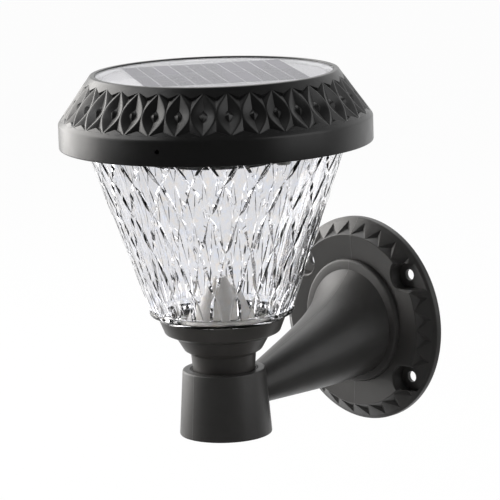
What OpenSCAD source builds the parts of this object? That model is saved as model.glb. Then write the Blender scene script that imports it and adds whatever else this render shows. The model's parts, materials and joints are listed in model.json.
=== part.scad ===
// Solar wall light: a round lamp head with a solar panel in its lid stands in the
// socket of a hollow wall arm. All sizes are in millimetres.
// The wall is the plane y = 0, the lamp stands out along -Y, and +Z is up.
// The origin is the centre of the wall plate's back.

/* [Wall plate] */
// Outer radius of the round wall plate
plate_r = 52.5; // [50:0.5:58]
// Thickness of the plate's outer rim
rim_t = 3; // [2.5:0.1:3.6]
// Height of the plate's raised ring above the wall
plate_h = 9.5; // [8.5:0.1:11]
// Inner radius of the ring of facets
facet_in_r = 44; // [43:0.5:46]
// Number of triangular facets round the plate
facet_count = 28; // [20:1:36]
// Depth of each facet
facet_depth = 1.6; // [0.5:0.1:1.8]
// Wall thickness of the plate and the arm
arm_wall = 2.8; // [2.2:0.1:3.4]
// Distance between the wall screws, side to side
screw_span_x = 67.4; // [65:0.1:70]
// Distance between the wall screws, up and down
screw_span_z = 52.6; // [50:0.1:56]
// Radius of the wall screw holes
screw_hole_r = 2.8; // [2:0.1:3]
// Half width of the pocket round each screw hole
pocket_r = 6.5; // [6:0.1:8]
// Thickness of the pocket's floor
pocket_floor = 2; // [1.8:0.1:2.6]

/* [Arm and socket] */
// Distance from the wall to the lamp's axis
reach = 101; // [98:0.5:120]
// Radius of the arm where it meets the socket
arm_tip_r = 9.3; // [8:0.1:10]
// Steady growth of the arm's radius towards the wall
arm_gain = 14.5; // [12:0.1:15]
// Sudden growth of the arm's radius at the wall plate
arm_flare = 4.2; // [3:0.1:5]
// Depth of the arm's straight underside below the plate's centre
arm_drop = 30.4; // [28:0.1:31]
// Depth of the socket's mouth below the plate's centre
mouth_drop = 8.3; // [8:0.1:14]
// Height of the socket
socket_h = 32.6; // [30:0.1:40]
// Outer radius of the socket at its mouth
socket_top_r = 20.4; // [19.6:0.1:23]
// Outer radius of the socket at its foot
socket_foot_r = 22.8; // [21.5:0.1:25]
// Thickness of the ledge that the neck stands on
ledge_t = 4; // [3:0.5:6]

/* [Base cup] */
// Radius of the round neck
neck_r = 15.4; // [14:0.1:15.8]
// Length of neck that shows above the socket
neck_show = 7.8; // [6:0.1:16]
// Radius of the cup's foot, just above the neck
foot_r = 19.1; // [18:0.1:20]
// Radius of the cup below its shoulder
shoulder_r = 22.9; // [21:0.1:23.4]
// Radius of the bottom of the cup's band
band_foot_r = 28.3; // [27:0.1:28.8]
// Radius of the cup's rim
cup_r = 31.2; // [30.6:0.1:32]
// Height of the cup's band
cup_band_h = 7.2; // [6.5:0.1:9]
// Wall thickness of the cup
cup_wall = 2.4; // [1.8:0.1:2.6]

/* [Lens] */
// Height of the lens between the cup and the lid
lens_h = 86; // [80:1:110]
// Outer radius of the lens at the lid
lens_top_r = 63.5; // [61:0.1:64.5]
// Outer radius of the lens just above its rounded foot
lens_foot_r = 35; // [33:0.1:36.5]
// Wall thickness of the lens
lens_wall = 3.2; // [2.4:0.1:3.6]
// Number of cut diamonds round the lens
diamond_count = 24; // [16:1:30]
// How far the corners of the diamonds stand proud
diamond_rise = 0.7; // [0.2:0.1:0.9]

/* [Lid] */
// How far the lid's straight rim stands out over the lens
rim_reach = 12.7; // [12.3:0.1:15]
// Height of the lid's straight rim
lid_rim_h = 12; // [11.8:0.1:14]
// Full height of the lid
lid_h = 34.8; // [34:0.1:38]
// Width of the lid's slope, seen from above
slope_w = 16.2; // [13:0.1:16.6]
// Wall thickness of the lid's rim
lid_wall = 2.2; // [1.8:0.1:2.3]
// Wall thickness of the lid's sloping part
cone_wall = 3.2; // [3:0.1:3.8]
// Number of leaf-shaped petals round the lid
petal_count = 36; // [24:1:40]
// Depth of each petal's valley
petal_depth = 1.9; // [0.6:0.1:2.1]
// Thickness of the lid's floor
floor_t = 2.5; // [2:0.1:3]
// Angle of the lamp head in its socket
head_angle = -33.3; // [-180:0.1:180]

/* [Solar panel] */
// Thickness of the panel's backing board
backing_t = 1.6; // [1.2:0.1:2]
// Thickness of the clear cover
cover_t = 0.8; // [0.6:0.1:1]
// Distance between the cells' corners and the panel's edge
cell_inset = 2.1; // [2:0.1:6]
// Angle of the cells' corner, which sets how long the row is against its width
cell_corner_angle = 46.2; // [40:0.1:50]
// Number of cell strips
cell_count = 10; // [6:1:12]
// Gap between two cell strips
cell_gap = 0.5; // [0.3:0.1:1]

/* [Light and power] */
// Radius of the board that carries the light-emitting diodes
led_board_r = 22; // [21.5:0.1:23]
// Number of light-emitting diodes in the outer ring
led_count = 12; // [6:1:14]
// Radius of the battery cell
cell_r = 9.2; // [8:0.1:9.4]
// Length of the battery cell
battery_l = 65.2; // [60:0.1:67]
// Thickness of the circuit boards
board_t = 1.6; // [1:0.1:2]
// Length of the driver board
driver_l = 60; // [58:0.5:62]
// Width of the driver board
driver_w = 32; // [30:0.5:33]
// Radius of the insulated leads
lead_r = 0.8; // [0.6:0.05:1]

/* [Push button] */
// Radius of the mode button's cap
button_r = 3.6; // [3:0.05:3.7]
// Angle of the mode button from the panel's long axis
button_angle = 16; // [4:1:30]
// How far the button stands below the lid's rim
button_proud = 2; // [1.5:0.1:3]
// How far the button can be pressed
button_travel = 0.8; // [0.5:0.1:0.8]

/* [Fits] */
// Radial clearance of pieces that slide or turn in each other
running_gap = 0.08; // [0.05:0.01:0.1]
// Clearance round a soft or loose piece
loose_gap = 0.3; // [0.2:0.05:0.35]
// Clearance of a screw in its hole
screw_gap = 0.05; // [0.03:0.01:0.08]

/* [Hidden] */
$fn = 96;
eps = 0.01;

// Radii that follow from the lens
lid_r = lens_top_r + rim_reach;
lid_top_r = lid_r - slope_w;
panel_r = lid_top_r - 2.6;
cell_corner_r = panel_r - cell_inset;
cell_l = 2 * cell_corner_r * cos(cell_corner_angle);
cell_row_l = 2 * cell_corner_r * sin(cell_corner_angle);

// Heights of the joints between the pieces, measured from the plate's centre
mouth_z = -mouth_drop;
socket_foot_z = mouth_z - socket_h;
ledge_z = socket_foot_z + ledge_t;
cup_foot_z = mouth_z + neck_show;
foot_h = 2;
waist_h = 6.5;
shoulder_h = 2.3;
waist_z = cup_foot_z + foot_h;
shoulder_z = waist_z + waist_h;
band_z = shoulder_z + shoulder_h;
cup_top_z = band_z + cup_band_h;
lid_z = cup_top_z + lens_h;

// Plate and arm
rim_w = 3;
facet_out_r = plate_r - 1.5;
facet_foot_h = rim_t + 0.8;
facet_fill = 0.97;
facet_edge = 0.3;
pit_lift = 0.1;
pit_cap = 2;
root_r = 32;
root_h = plate_h - 1;
arm_root_r = arm_tip_r + arm_gain + arm_flare;
arm_root_y = 10;
arm_tip_y = reach - 21;
arm_end_y = reach - 17;
flare_power = 6;
root_lift = arm_drop - arm_root_r;
pocket_wall = 2;
plate_cut = 30;

// Socket
mouth_seal_r = neck_r + 1;
mouth_depth = 2.5;
seal_drop = 0.2;
socket_chamfer = 0.8;
drain_r = 12;

// Cup
neck_top_r = neck_r + 0.6;
spigot_r = 27.4;
spigot_wall = 2.2;
spigot_l = 3;
gasket_t = 0.8;
spigot_gap = 0.2;
cup_floor_t = 3;
reflector_seat_z = shoulder_z + 5.3;
reflector_r = 24.9;
reflector_base_r = 19;
reflector_tip_r = 3;
reflector_h = 24.5;
reflector_t = 1.4;
base_screw_r = 22;
base_screw_count = 3;

// Lid and floor, measured from the lid's lower edge
floor_lift = 2;
floor_top = floor_lift + floor_t;
floor_r = lid_r - lid_wall - 0.2;
groove_wall = 2;
groove_depth = 3.4;
lens_ring_wall = 2.4;
groove_gap = 0.2;
lens_ring_l = floor_lift + groove_depth - gasket_t;
cone_slope = (lid_r - lid_top_r) / (lid_h - lid_rim_h);
cone_angle = atan(cone_slope);
cover_drop = 0.4;
ledge_top = lid_h - cover_drop - cover_t - backing_t;
ledge_w = 6.5;
ledge_inner_r = lid_top_r - ledge_w;
lid_ledge_t = 2;
petal_low = lid_rim_h + 3.3;
petal_high = lid_rim_h + 19.6;
petal_fill = 0.96;
petal_lift = 0.15;
petal_out = 3;
lid_screw_place_r = lid_r - 7.4;
lid_screw_angles = [76, 196, 316];
lid_boss_r = 3.4;
lid_screw_l = 10;
locking_angle = -31.4;
locking_z = 7;
locking_r = 1.1;

// Screws: head radius, head height and shank radius
big_screw = [2.9, 1.6, 1.5];
small_screw = [2.3, 1.4, 1.1];
tiny_screw = [1.5, 0.8, 0.7];
small_screw_l = 5;
led_screw_l = 6;
tiny_screw_l = 4;

// Boards and battery, measured from the top of the lid's floor
driver_y = 18;
driver_lift = 4;
post_r = 2.6;
post_inset = 3;
board_top = driver_lift + board_t;
can_size = [4.5, 5];
coil_size = [3.5, 9];
chip_size = [8, 8, 1.4];
regulator_size = [4, 3, 1.2];
plug_size = [5, 8, 4];
diode_size = [3, 4, 1];
tray_t = 1.5;
tray_y = -25;
tray_wall_h = 8.5;
tray_end_h = 17;
contact_l = 1.7;
contact_t = 0.5;
contact_w = 9;
contact_drop = 6;
contact_pad_r = 3.4;
led_place_r = 14;
led_size = [3.5, 2.8, 0.8];
led_flange_t = 0.8;
led_screw_place_r = 19.3;
led_screw_angles = [90, 210, 330];
led_dish_r = 38;
led_dish_h = 9;
led_seat_r = 30;
led_lip_r = 27.4;
led_hub_r = 11;
dish_t = 1.4;
lead_hole_r = 4;
button_place_r = lid_r - 6.6;
button_flange_r = 4;
button_flange_t = 0.8;
button_stem_r = 1.5;
button_stem_l = 0.5;
switch_gap = 0.1;
plunger_r = 1.7;
plunger_l = 0.7;
switch_size = [6, 6, 2.5];
switch_lift = button_flange_t + button_stem_l + button_travel + switch_gap + plunger_l + switch_size[2];
switch_board_size = [7, 16];
switch_board_r = button_place_r - 1.2;
switch_top = switch_lift + board_t;
switch_post_y = 6.3;
switch_post_r = 1.6;
ribbon_w = 1.2;
ribbon_t = 0.1;
cells_t = 0.3;

// Routes of the leads in the lid, from the floor's top, in the lid's own axes
panel_lead_top = ledge_top + 0.4 - floor_top;
panel_route = [[0, 0, panel_lead_top], [0, 0, 24], [0.5, -0.5, 20], [-0.5, -1, 15], [0, -0.5, 10],
    [0, 0, board_top + 1.9], [0, 0, board_top]];
led_route = [[0, 0, -floor_t - led_flange_t], [0, 0, -1], [0, -0.5, 2], [0, -0.6, 5], [0, 0.2, 7],
    [0, 1.8, 7.9], [0, 3.8, 7.8], [0, 4.6, board_top + 1.3], [0, 4.6, board_top]];
battery_end = battery_l / 2 + contact_l + contact_t / 2;
battery_route = [[battery_end, -22, tray_end_h], [battery_end, -22, 18.2], [34, -19, 19.2], [32.5, -14, 18],
    [30.5, -7, 13], [27, -1, 9.2], [24, 3.4, 8.2], [22, 5, board_top + 1.5], [22, 5, board_top]];
switch_end = [(switch_board_r - 2.1) * cos(button_angle), (switch_board_r - 2.1) * sin(button_angle)];
driver_end = [27, 15.5];
switch_heights = [[0, switch_top], [0, switch_top + 1.4], [0.12, 9.9], [0.34, 8.4], [0.6, 7.4], [0.85, 8.2],
    [1, board_top + 1.6], [1, board_top]];
switch_route = [for (p = switch_heights) concat(switch_end + p[0] * (driver_end - switch_end), p[1])];
lead_pitch = 2.4;
lead_sides = 8;

// Functions for the lofted arm

function arm_share(y) = (arm_tip_y - y) / (arm_tip_y - arm_root_y);
function arm_r(y) = arm_tip_r + arm_gain * arm_share(y) + arm_flare * pow(max(arm_share(y), 0), flare_power);
function arm_bottom(y) = -arm_drop + root_lift * pow(max(arm_share(y), 0), flare_power);
function arm_mid_z(y) = arm_bottom(y) + arm_r(y);
function ring_at(y, z, r, n) = [for (i = [0:n - 1]) [r * cos(360 * i / n), -y, z + r * sin(360 * i / n)]];

// A closed tube through rings of n points each, given end to end
module lofted(rings) {
    n = len(rings[0]);
    m = len(rings);
    points = [for (ring = rings) for (p = ring) p];
    sides = [for (k = [0:m - 2]) for (i = [0:n - 1]) for (h = [0, 1])
        h == 0 ? [k * n + i, k * n + (i + 1) % n, (k + 1) * n + (i + 1) % n]
               : [k * n + i, (k + 1) * n + (i + 1) % n, (k + 1) * n + i]];
    first = [[for (i = [n - 1:-1:0]) i]];
    last = [[for (i = [0:n - 1]) (m - 1) * n + i]];
    polyhedron(points = points, faces = concat(sides, first, last));
}

// A thin round lead along a route
function unit(v) = v / norm(v);
function along(route, k) = k == 0 ? unit(route[1] - route[0])
    : k == len(route) - 1 ? unit(route[k] - route[k - 1])
    : unit(unit(route[k + 1] - route[k]) + unit(route[k] - route[k - 1]));
function lead_ring(centre, t, r) = let (u = unit(cross(t, [0.31, 0.93, 0.17])), v = cross(t, u))
    [for (i = [0:lead_sides - 1]) let (a = 360 * i / lead_sides) centre + r * (cos(a) * u - sin(a) * v)];
module lead(route) {
    lofted([for (k = [0:len(route) - 1]) lead_ring(route[k], along(route, k), lead_r)]);
}

// Frames that the pieces are drawn in

module at_lamp(z) {
    translate([0, -reach, z]) children();
}

module head_frame(z) {
    at_lamp(z) rotate([0, 0, head_angle]) children();
}

module off_wall() {
    rotate([90, 0, 0]) children();
}

module round_places(r, angles) {
    for (a = angles) rotate([0, 0, a]) translate([r, 0, 0]) children();
}

// Screw with its head's seat at z = 0, its head above and its shank below
module screw(kind, l) {
    difference() {
        cylinder(r = kind[0], h = kind[1]);
        translate([0, 0, kind[1] / 2 + kind[1] / 4]) cube([kind[0] * 1.3, 0.7, kind[1] / 2], center = true);
        translate([0, 0, kind[1] / 2 + kind[1] / 4]) cube([0.7, kind[0] * 1.3, kind[1] / 2], center = true);
    }
    translate([0, 0, -l]) cylinder(r = kind[2], h = l + eps);
}

// Wall bracket: plate, hollow arm and socket in one moulding

module plate_profile() {
    polygon([[0, 0], [plate_r, 0], [plate_r, rim_t], [facet_out_r, facet_foot_h], [facet_in_r, plate_h],
        [root_r, root_h], [0, root_h]]);
}

module plate_hollow_profile() {
    polygon([[0, -1], [plate_r - rim_w, -1], [plate_r - rim_w, facet_foot_h - arm_wall + 0.5],
        [facet_in_r - arm_wall / 2, plate_h - arm_wall], [root_r, root_h - arm_wall],
        [0, root_h - arm_wall]]);
}

module plate_root_profile() {
    polygon([[root_r, root_h - eps], [arm_root_r + 1.4, root_h + 1.2], [arm_root_r + 0.3, root_h + 3],
        [arm_root_r - 1.6, root_h + 4], [arm_root_r - 1.6, root_h - eps]]);
}

module screw_places() {
    for (sx = [-1, 1]) for (sz = [-1, 1])
        translate([sx * screw_span_x / 2, sz * screw_span_z / 2]) scale([sx, 1]) children();
}

module pocket_outline(r) {
    circle(r = r);
    translate([0, -r]) square([plate_cut, 2 * r]);
}

// A pit in the plate's sloping ring, with its point outwards and its deepest place near its base
function slope_h(r) = facet_foot_h
    + (plate_h - facet_foot_h) * (facet_out_r - r) / (facet_out_r - facet_in_r);
function slope_point(a, r, lift) = [r * cos(a), r * sin(a), slope_h(r) + lift];
module plate_facet(a) {
    half = facet_fill * 180 / facet_count;
    mid_r = facet_in_r + 0.38 * (facet_out_r - facet_in_r);
    polyhedron(points = [slope_point(a + half, facet_in_r + facet_edge, pit_lift),
            slope_point(a - half, facet_in_r + facet_edge, pit_lift),
            slope_point(a, facet_out_r - facet_edge, pit_lift),
            slope_point(a, mid_r, -facet_depth),
            slope_point(a, mid_r, pit_cap)],
        faces = [[0, 4, 1], [1, 4, 2], [2, 4, 0], [0, 1, 3], [1, 2, 3], [2, 0, 3]]);
}

module wall_plate() {
    difference() {
        union() {
            difference() {
                rotate_extrude() plate_profile();
                rotate_extrude() plate_hollow_profile();
            }
            rotate_extrude() plate_root_profile();
            intersection() {
                rotate_extrude() plate_profile();
                linear_extrude(height = plate_cut) screw_places() pocket_outline(pocket_r + pocket_wall);
            }
        }
        intersection() {
            translate([0, 0, pocket_floor])
                linear_extrude(height = plate_cut) screw_places() pocket_outline(pocket_r);
            cylinder(r = facet_out_r, h = plate_cut);
        }
        for (i = [0:facet_count - 1]) plate_facet(i * 360 / facet_count);
    }
}

arm_steps = [arm_end_y, arm_tip_y, 70, 60, 50, 42, 35, 29, 24, 20, 16.5, 13.5, 11.5, arm_root_y, 7.5];
arm_hollow_steps = [70, 60, 50, 42, 35, 29, 24, 20, 16.5, 13.5, 11.5, arm_root_y];
arm_sides = 40;

module arm_solid() {
    lofted([for (y = arm_steps) ring_at(y, arm_mid_z(y), arm_r(y), arm_sides)]);
}

module arm_hollow() {
    lofted(concat([for (y = arm_hollow_steps) ring_at(y, arm_mid_z(y), arm_r(y) - arm_wall, arm_sides)],
        [ring_at(-1, arm_mid_z(arm_root_y), arm_root_r - arm_wall, arm_sides)]));
}

module socket_outer() {
    at_lamp(0) rotate_extrude() polygon([[0, socket_foot_z], [socket_foot_r, socket_foot_z],
        [socket_top_r, mouth_z - socket_chamfer], [socket_top_r - socket_chamfer, mouth_z], [0, mouth_z]]);
}

module wall_bracket() {
    color("#3f3f3f") difference() {
        union() {
            off_wall() wall_plate();
            arm_solid();
            socket_outer();
        }
        arm_hollow();
        off_wall() translate([0, 0, -1]) linear_extrude(height = plate_cut)
            screw_places() circle(r = screw_hole_r);
        at_lamp(ledge_z) cylinder(r = neck_r + running_gap, h = socket_h);
        at_lamp(mouth_z - mouth_depth) cylinder(r = mouth_seal_r + loose_gap, h = mouth_depth + 1);
        at_lamp(socket_foot_z - 1) cylinder(r = drain_r, h = ledge_t + 2);
    }
}

// Rubber ring that closes the socket's mouth round the neck
module neck_seal() {
    color("#3a3a3a") at_lamp(mouth_z - mouth_depth) difference() {
        cylinder(r = mouth_seal_r, h = mouth_depth - seal_drop);
        translate([0, 0, -1]) cylinder(r = neck_r + loose_gap, h = mouth_depth + 2);
    }
}

// Base cup and neck in one moulding

module cup_outline_solid() {
    rotate_extrude() polygon([[0, ledge_z], [neck_r, ledge_z], [neck_r, mouth_z + 1],
        [neck_top_r, cup_foot_z], [foot_r, waist_z],
        [shoulder_r, shoulder_z], [shoulder_r + 0.4, shoulder_z], [band_foot_r, band_z],
        [cup_r, cup_top_z], [0, cup_top_z]]);
}

module base_cup() {
    inner_floor_z = waist_z + 1.6;
    cavity_z = inner_floor_z + cup_floor_t;
    cavity_r = foot_r + (shoulder_r - foot_r) * (cavity_z - waist_z) / waist_h - cup_wall;
    base_angles = [for (i = [0:base_screw_count - 1]) i * 360 / base_screw_count];
    color("#434340") head_frame(0) difference() {
        intersection() {
            cup_outline_solid();
            union() {
                difference() {
                    translate([0, 0, ledge_z]) cylinder(r = cup_r + 1, h = cup_top_z - ledge_z);
                    rotate_extrude() polygon([[0, cavity_z], [cavity_r, cavity_z],
                        [band_foot_r - cup_wall - 0.6, band_z + 0.8],
                        [spigot_r - spigot_wall, cup_top_z - spigot_l],
                        [spigot_r + spigot_gap, cup_top_z - spigot_l], [spigot_r + spigot_gap, cup_top_z + 1],
                        [0, cup_top_z + 1]]);
                }
                round_places(base_screw_r, base_angles)
                    translate([0, 0, cavity_z - 1]) cylinder(r = post_r, h = reflector_seat_z - cavity_z + 1);
            }
        }
        translate([0, 0, ledge_z - 1]) cylinder(r = neck_r - cup_wall, h = inner_floor_z - ledge_z + 1);
        round_places(base_screw_r, base_angles)
            translate([0, 0, reflector_seat_z - 4.3]) cylinder(r = small_screw[2] + screw_gap, h = 6);
    }
}

// Flat ring between the foot of the lens and the cup
module base_gasket() {
    color("#c9c9c4") head_frame(cup_top_z - spigot_l) difference() {
        cylinder(r = spigot_r, h = gasket_t);
        translate([0, 0, -1]) cylinder(r = spigot_r - spigot_wall, h = gasket_t + 2);
    }
}

// Pale cone that throws the light outwards
module base_reflector() {
    color("#d8d2c4") head_frame(reflector_seat_z) difference() {
        rotate_extrude() polygon([[0, 0], [reflector_r, 0], [reflector_r, reflector_t],
            [reflector_base_r, reflector_t], [reflector_tip_r, reflector_h], [0, reflector_h]]);
        rotate_extrude() polygon([[0, -1], [reflector_base_r - 2 * reflector_t, -1],
            [reflector_base_r - 2 * reflector_t, reflector_t],
            [reflector_tip_r - 1, reflector_h - 2 * reflector_t], [0, reflector_h - 2 * reflector_t]]);
        round_places(base_screw_r, [for (i = [0:base_screw_count - 1]) i * 360 / base_screw_count])
            translate([0, 0, -1]) cylinder(r = small_screw[2] + screw_gap, h = reflector_t + 2);
    }
}

module base_screws() {
    color("#b8b8b8") head_frame(reflector_seat_z + reflector_t)
        round_places(base_screw_r, [for (i = [0:base_screw_count - 1]) i * 360 / base_screw_count])
            screw(small_screw, small_screw_l);
}

// Clear lens cut with diamonds that grow longer towards its foot

lens_rows = [0, 0.135, 0.316, 0.541, 0.79];
lens_foot_h = 4;
function lens_z(share) = -share * lens_h;
function lens_r(z) = lens_top_r + (lens_foot_r - lens_top_r) * (-z) / (lens_h - lens_foot_h);
function lens_ring(k) = let (z = lens_z(lens_rows[k]), r = lens_r(z), n = 2 * diamond_count)
    [for (i = [0:n - 1]) let (rise = k == 0 ? 0 : (i + k) % 2 == 0 ? diamond_rise : -diamond_rise)
        [(r + rise) * cos(360 * i / n), (r + rise) * sin(360 * i / n), z]];
function plain_ring(r, z) = let (n = 2 * diamond_count)
    [for (i = [0:n - 1]) [r * cos(360 * i / n), r * sin(360 * i / n), z]];

module cut_lens() {
    rings = concat([for (k = [0:len(lens_rows) - 1]) lens_ring(k)],
        [plain_ring(lens_foot_r, lens_foot_h - lens_h), plain_ring(lens_foot_r - 0.8, 1.4 - lens_h),
        plain_ring(cup_r, -lens_h)]);
    n = 2 * diamond_count;
    m = len(rings);
    points = [for (ring = rings) for (p = ring) p];
    sides = [for (k = [0:m - 2]) for (i = [0:n - 1]) for (h = [0, 1])
        let (a = k * n + i, b = k * n + (i + 1) % n, c = (k + 1) * n + (i + 1) % n, d = (k + 1) * n + i)
        (i + k) % 2 == 0 ? (h == 0 ? [a, b, c] : [a, c, d]) : (h == 0 ? [a, b, d] : [b, c, d])];
    top = [[for (i = [n - 1:-1:0]) i]];
    bottom = [[for (i = [0:n - 1]) (m - 1) * n + i]];
    polyhedron(points = points, faces = concat(sides, top, bottom));
}

module lens() {
    color("#e4e6ea", 0.35) head_frame(lid_z) difference() {
        union() {
            cut_lens();
            translate([0, 0, -lens_foot_h]) cylinder(r = lens_top_r - 0.4, h = lens_foot_h + lens_ring_l);
            translate([0, 0, gasket_t - lens_h - spigot_l]) cylinder(r = spigot_r, h = spigot_l);
        }
        rotate_extrude() polygon([[0, -lens_h - spigot_l - 1],
            [spigot_r - spigot_wall, -lens_h - spigot_l - 1],
            [spigot_r - spigot_wall, 2.5 - lens_h], [lens_foot_r - lens_wall, lens_foot_h - lens_h],
            [lens_top_r - lens_wall, -1], [lens_top_r - lens_wall + 0.4, lens_ring_l + 1],
            [0, lens_ring_l + 1]]);
    }
}

// Soft ring above the lens, in the floor's groove
module lens_gasket() {
    color("#c9c9c4") head_frame(lid_z + floor_lift + groove_depth - gasket_t) difference() {
        cylinder(r = lens_top_r - 0.4, h = gasket_t);
        translate([0, 0, -1]) cylinder(r = lens_top_r - lens_ring_wall, h = gasket_t + 2);
    }
}

// Floor of the lid: closes it from below and holds the lens

module switch_place() {
    rotate([0, 0, button_angle]) children();
}

module driver_places() {
    for (sx = [-1, 1]) for (sy = [-1, 1])
        translate([sx * (driver_l / 2 - post_inset), driver_y + sy * (driver_w / 2 - post_inset), 0])
            children();
}

module lid_floor() {
    groove_r = lens_top_r + 0.1;
    groove_in_r = lens_top_r - lens_wall - groove_gap;
    color("#202020") head_frame(lid_z) difference() {
        union() {
            translate([0, 0, floor_lift]) cylinder(r = floor_r, h = floor_t);
            rotate_extrude() polygon([[groove_in_r - groove_wall, floor_lift],
                [groove_r + groove_wall - 0.5, floor_lift],
                [groove_r + groove_wall - 0.5, floor_lift + groove_depth + groove_wall],
                [groove_in_r - groove_wall, floor_lift + groove_depth + groove_wall]]);
            driver_places() translate([0, 0, floor_top - eps]) cylinder(r = post_r, h = driver_lift + eps);
            round_places(led_screw_place_r, led_screw_angles)
                translate([0, 0, floor_top - eps]) cylinder(r = post_r, h = driver_lift - 0.5);
            switch_place() for (s = [-1, 1]) translate([switch_board_r, s * switch_post_y, floor_top - eps])
                cylinder(r = switch_post_r, h = switch_lift + eps);
        }
        switch_place() for (s = [-1, 1])
            translate([switch_board_r, s * switch_post_y, floor_top + switch_lift - 3])
                cylinder(r = tiny_screw[2] + screw_gap, h = 4);
        translate([0, 0, floor_lift - 1]) difference() {
            cylinder(r = groove_r, h = groove_depth + 1);
            translate([0, 0, -1]) cylinder(r = groove_in_r, h = groove_depth + 3);
        }
        translate([0, 0, floor_lift - 1]) cylinder(r = lead_hole_r, h = floor_t + 2);
        driver_places() translate([0, 0, floor_top + driver_lift - 4])
            cylinder(r = small_screw[2] + screw_gap, h = 5);
        round_places(led_screw_place_r, led_screw_angles)
            translate([0, 0, floor_lift - 1]) cylinder(r = small_screw[2] + screw_gap, h = 5.5);
        round_places(lid_screw_place_r, lid_screw_angles)
            translate([0, 0, floor_lift - 1]) cylinder(r = big_screw[2] + screw_gap, h = floor_t + 2);
        switch_place() translate([button_place_r, 0, floor_lift - 1])
            cylinder(r = button_r + running_gap, h = floor_t + 2);
    }
}

// Lid shell with its band of leaf-shaped petals

function cone_r(z) = lid_r - (z - lid_rim_h) * cone_slope;
function cone_point(a, z, out) = [(cone_r(z) + out * cos(cone_angle)) * cos(a),
    (cone_r(z) + out * cos(cone_angle)) * sin(a), z + out * sin(cone_angle)];

// Half the angle that a petal covers at a share of its height
petal_shares = [0.18, 0.36, 0.5, 0.64, 0.82];
function petal_half(share) = petal_fill * 180 / petal_count * pow(sin(180 * share), 1.1);
function petal_z(share) = petal_low + share * (petal_high - petal_low);

// Pit with a leaf's outline and a valley down its middle
module petal_pit(a) {
    n = len(petal_shares);
    right = [for (s = petal_shares) cone_point(a + petal_half(s), petal_z(s), petal_lift)];
    left = [for (s = petal_shares) cone_point(a - petal_half(s), petal_z(s), petal_lift)];
    valley = [for (s = petal_shares) cone_point(a, petal_z(s), -petal_depth * pow(sin(180 * s), 0.7))];
    points = concat(right, left, valley,
        [cone_point(a, petal_low, petal_lift), cone_point(a, petal_high, petal_lift),
        cone_point(a, petal_z(0.5), petal_out)]);
    low = 3 * n;
    high = low + 1;
    out = low + 2;
    inner = [for (i = [0:n - 2]) for (f = [[i, i + 1, 2 * n + i + 1], [i, 2 * n + i + 1, 2 * n + i],
        [n + i, 2 * n + i + 1, n + i + 1], [n + i, 2 * n + i, 2 * n + i + 1]]) f];
    cap = [for (i = [0:n - 2]) for (f = [[i + 1, i, out], [n + i, n + i + 1, out]]) f];
    ends = [[low, 0, 2 * n], [n, low, 2 * n], [n - 1, high, 3 * n - 1], [high, 2 * n - 1, 3 * n - 1],
        [0, low, out], [low, n, out], [high, n - 1, out], [2 * n - 1, high, out]];
    polyhedron(points = points, faces = concat(inner, cap, ends));
}

module lid_profile() {
    inner_top_r = lid_top_r - cone_wall / cos(cone_angle) + lid_ledge_t * cone_slope;
    inner_crease_z = lid_rim_h - 1;
    polygon([[lid_r - lid_wall, 0], [lid_r - 0.5, 0], [lid_r, 0.5], [lid_r, lid_rim_h], [lid_top_r, lid_h],
        [panel_r + 0.2, lid_h], [panel_r + 0.2, ledge_top], [ledge_inner_r, ledge_top],
        [ledge_inner_r, ledge_top - lid_ledge_t], [inner_top_r + 1, ledge_top - lid_ledge_t],
        [lid_r - lid_wall, inner_crease_z]]);
}

module lid_outline_solid() {
    rotate_extrude() polygon([[0, 0], [lid_r - 1, 0], [lid_r - 1, lid_rim_h], [lid_top_r - 1, lid_h - 5],
        [0, lid_h - 5]]);
}

module lid_shell() {
    color("#252525") head_frame(lid_z) difference() {
        union() {
            rotate_extrude() lid_profile();
            intersection() {
                lid_outline_solid();
                round_places(lid_screw_place_r, lid_screw_angles)
                    translate([0, 0, floor_top]) cylinder(r = lid_boss_r, h = lid_h);
            }
        }
        for (i = [0:petal_count - 1]) petal_pit((i + 0.5) * 360 / petal_count);
        round_places(lid_screw_place_r, lid_screw_angles)
            translate([0, 0, floor_top - 1]) cylinder(r = big_screw[2] + screw_gap, h = 10);
        rotate([0, 0, locking_angle]) translate([lid_r - lid_wall - 2, 0, locking_z])
            rotate([0, 90, 0]) cylinder(r = locking_r + screw_gap, h = lid_wall + 4);
    }
}

module lid_screws() {
    color("#8f8f8f") head_frame(lid_z + floor_lift)
        round_places(lid_screw_place_r, lid_screw_angles) rotate([180, 0, 0]) screw(big_screw, lid_screw_l);
}

// Grub screw below the surface of the lid's rim
module locking_screw() {
    color("#1a1a1a") head_frame(lid_z + locking_z) rotate([0, 0, locking_angle])
        translate([lid_r - lid_wall - 1.5, 0, 0]) rotate([0, 90, 0]) difference() {
            cylinder(r = locking_r, h = lid_wall + 1);
            translate([0, 0, lid_wall]) cylinder(r = 0.55, h = 2, $fn = 6);
        }
}

// Light source under the floor

module led_reflector() {
    color("#e2e2e0") head_frame(lid_z + floor_lift) difference() {
        rotate_extrude() polygon([[led_hub_r, 0], [led_seat_r, 0], [led_seat_r, -1.2], [led_lip_r, -1.6],
            [led_dish_r, -led_dish_h], [led_dish_r - dish_t, -led_dish_h - 0.4], [led_board_r + 2.4, -2.2],
            [led_board_r + 0.4, -led_flange_t], [led_hub_r, -led_flange_t]]);
        round_places(led_screw_place_r, led_screw_angles)
            translate([0, 0, -3]) cylinder(r = small_screw[2] + screw_gap, h = 6);
    }
}

module led_board() {
    color("#f0f0ee") head_frame(lid_z + floor_lift - led_flange_t - board_t) difference() {
        cylinder(r = led_board_r, h = board_t);
        round_places(led_screw_place_r, led_screw_angles)
            translate([0, 0, -1]) cylinder(r = small_screw[2] + screw_gap, h = board_t + 2);
    }
}

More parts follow.
